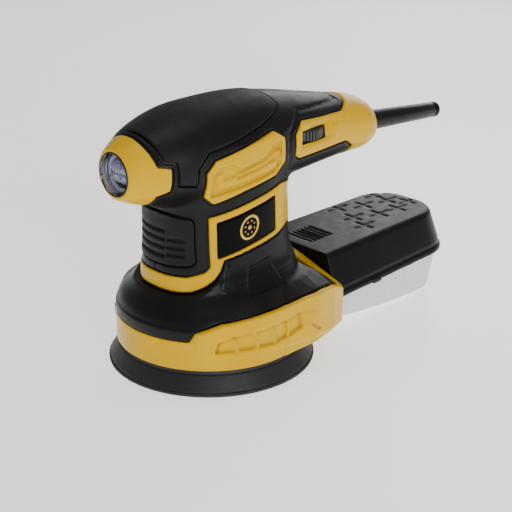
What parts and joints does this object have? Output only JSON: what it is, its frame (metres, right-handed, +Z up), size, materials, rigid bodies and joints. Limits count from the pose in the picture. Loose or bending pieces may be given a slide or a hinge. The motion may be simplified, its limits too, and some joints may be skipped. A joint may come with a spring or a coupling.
{
  "type": "random orbital sander",
  "caption": "Corded palm-grip random-orbit sander: round hook-faced pad on an eccentric drive, nose rocker switch, speed thumbwheel and a pull-off rear dust box.",
  "frame": {"origin": "centre of the pad's sanding face, on the pad's own turning axis at rest; the motor axis stands 1.25 mm towards -X", "axes": "+Z up, away from the sanded surface; -X towards the nose and switch; +X towards the cord exit and dust box; -Y is the side with the speed thumbwheel"},
  "size_m": [0.276, 0.125, 0.1583],
  "materials": {
    "hook_face": "hook fastener sheet",
    "pad_foam": "closed-cell foam, black",
    "backing": "glass-filled nylon, black",
    "steel": "turned steel",
    "screw_steel": "zinc-plated steel",
    "cast_alloy": "die-cast alloy",
    "fan_plastic": "moulded nylon",
    "laminations": "stacked laminations",
    "copper": "enamelled copper wire",
    "commutator": "copper segments",
    "seal": "soft sealing rubber",
    "inner_shell": "moulded nylon, dark grey",
    "brass": "drawn brass",
    "carbon": "pressed carbon",
    "yellow_shell": "satin moulded plastic, warm yellow",
    "soft_grip": "soft-touch overmould, black",
    "label": "gloss printed film, black",
    "black_shell": "fine-grained moulded plastic, black",
    "clear_boot": "clear flexible cover",
    "rocker": "gloss black",
    "board": "circuit board",
    "cord_rubber": "moulded rubber, black",
    "wire_sheath": "wire insulation",
    "hood": "satin moulded plastic, black",
    "tray": "milky translucent plastic",
    "filter_paper": "pleated filter paper"
  },
  "bodies": {
    "machine": {"motor_bracket": "cast_alloy", "stator_core": "laminations", "field_coils": "copper", "bearing_cup": "seal", "dust_baffle": "inner_shell", "pad_brake_ring": "seal", "brush_holder_left": "brass", "brush_holder_right": "brass", "carbon_brush_left": "carbon", "carbon_brush_right": "carbon", "brush_spring_left": "steel", "brush_spring_right": "steel", "nose_cap": "yellow_shell", "tail_cap": "yellow_shell", "top_grip": "soft_grip", "front_grip": "soft_grip", "neck_band": "yellow_shell", "side_insert_left": "yellow_shell", "side_insert_right": "yellow_shell", "label_left": "label", "label_right": "label", "housing_left": "inner_shell", "housing_right": "inner_shell", "cover_left": "black_shell", "cover_right": "black_shell", "housing_screws": "screw_steel", "switch_boot": "clear_boot", "switch_body": "inner_shell", "speed_regulator": "screw_steel", "speed_board": "board", "cord_boot": "cord_rubber", "cord_clamp": "inner_shell", "clamp_screws": "screw_steel", "lead_wires": "wire_sheath", "skirt": "yellow_shell", "shoulder": "black_shell", "dust_port": "inner_shell", "port_seal": "seal"},
    "rotor": {"eccentric_hub": "cast_alloy", "pad_bearing_lower": "steel", "pad_bearing_upper": "steel", "bearing_retainer": "steel", "counterweight": "steel", "cooling_fan": "fan_plastic", "motor_shaft": "steel", "lower_bearing": "steel", "upper_bearing": "steel", "armature_core": "laminations", "armature_windings": "copper", "commutator": "commutator"},
    "pad": {"hook_face": "hook_face", "pad_foam": "pad_foam", "backing_plate": "backing", "pad_spindle": "steel", "pad_screw": "screw_steel"},
    "rocker": {"switch_rocker": "rocker"},
    "dial": {"speed_dial": "rocker"},
    "tray": {"dust_tray": "tray"},
    "hood": {"dust_box_top": "hood", "dust_filter": "filter_paper"}
  },
  "joints": [
    {"name": "motor_spin", "type": "hinge", "parent": "machine", "child": "rotor", "pos_m": [-0.00125, 0, 0.05], "axis": [0, 0, 1], "continuous": true},
    {"name": "pad_spin", "type": "hinge", "parent": "rotor", "child": "pad", "pos_m": [0, 0, 0.028], "axis": [0, 0, 1], "continuous": true},
    {"name": "switch_rock", "type": "hinge", "parent": "machine", "child": "rocker", "pos_m": [-0.056, 0, 0.127], "axis": [0, 1, 0], "range_deg": [0, 14]},
    {"name": "speed_turn", "type": "hinge", "parent": "machine", "child": "dial", "pos_m": [0.058, -0.0118, 0.1306], "axis": [0, 0, 1], "range_deg": [0, 280]},
    {"name": "box_pull", "type": "slide", "parent": "machine", "child": "tray", "axis": [1, 0, 0], "range_m": [0, 0.04]},
    {"name": "hood_lift", "type": "slide", "parent": "tray", "child": "hood", "axis": [0, 0, 1], "range_m": [0, 0.03]}
  ]
}
